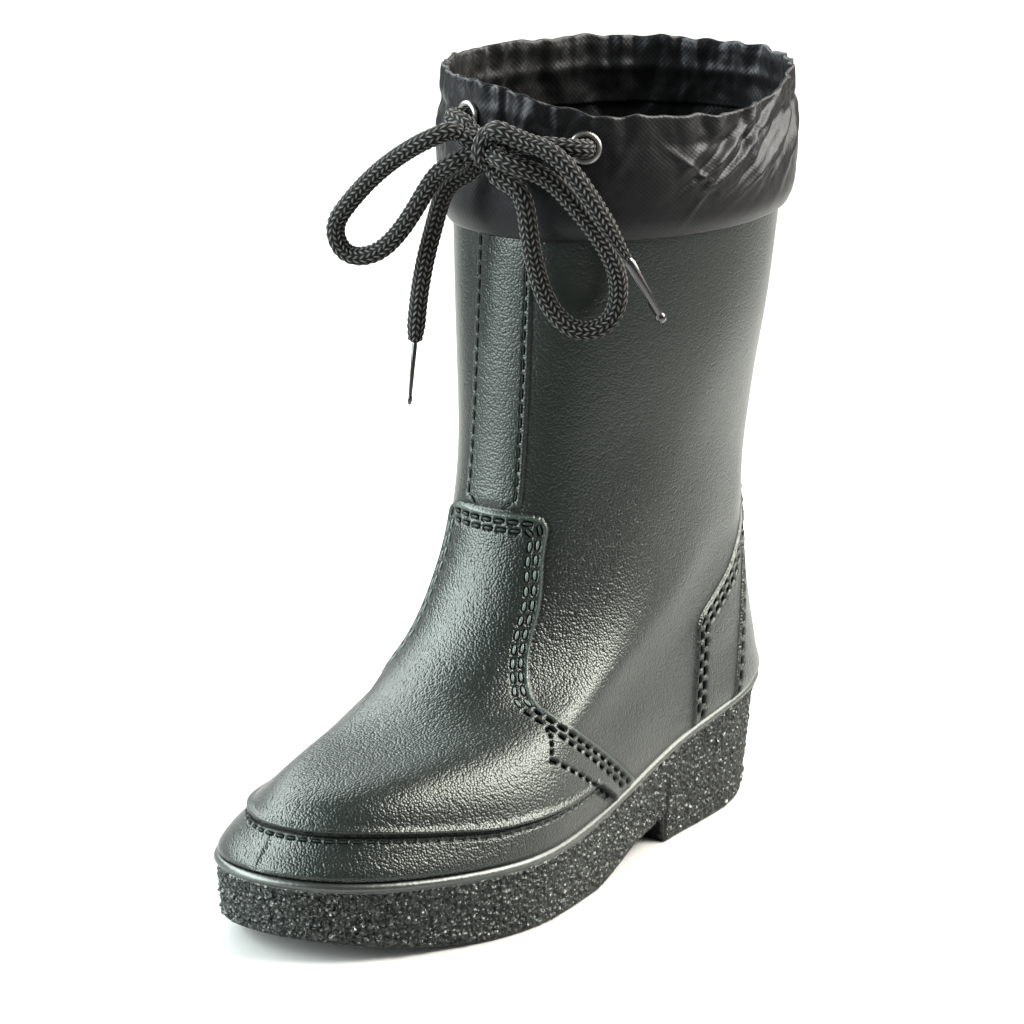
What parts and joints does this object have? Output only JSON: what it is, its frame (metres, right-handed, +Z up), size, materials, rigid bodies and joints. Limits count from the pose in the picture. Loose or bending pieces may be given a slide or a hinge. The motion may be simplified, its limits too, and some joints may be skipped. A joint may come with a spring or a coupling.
{
  "type": "kids rubber boot",
  "caption": "Pull-on moulded boot for a child's left foot, with stepped overlays, a crepe sole with heel and lugs, and a cloth cuff closed by a bow-tied drawcord.",
  "frame": {"origin": "on the floor, under the centre of the box round the boot without its free cord", "axes": "+X points to the toe, +Y to the outer side of the left foot, +Z up the shaft"},
  "size_m": [0.2061, 0.0866, 0.21],
  "materials": {
    "green_rubber": "moulded dark green rubber with a fine leather grain, semi-gloss",
    "crepe_sole": "pebbled crepe wall with a smooth bead, satin",
    "insole_felt": "dark grey felt, matte",
    "cuff_nylon": "black coated nylon cloth, satin",
    "eyelet_nickel": "dark nickel plate",
    "cord_braid": "black round braid, matte",
    "aglet_plastic": "black moulded tip, glossy"
  },
  "bodies": {
    "root": {"outsole": "crepe_sole", "upper": "green_rubber", "insole": "insole_felt", "cuff": "cuff_nylon", "eyelet_left": "eyelet_nickel", "eyelet_right": "eyelet_nickel", "cord_knot": "cord_braid", "cord_run_left": "cord_braid", "cord_run_right": "cord_braid", "cord_loop_left": "cord_braid", "cord_loop_right": "cord_braid", "cord_end_left": "cord_braid", "cord_end_right": "cord_braid", "aglet_left": "aglet_plastic", "aglet_right": "aglet_plastic"}
  },
  "joints": []
}
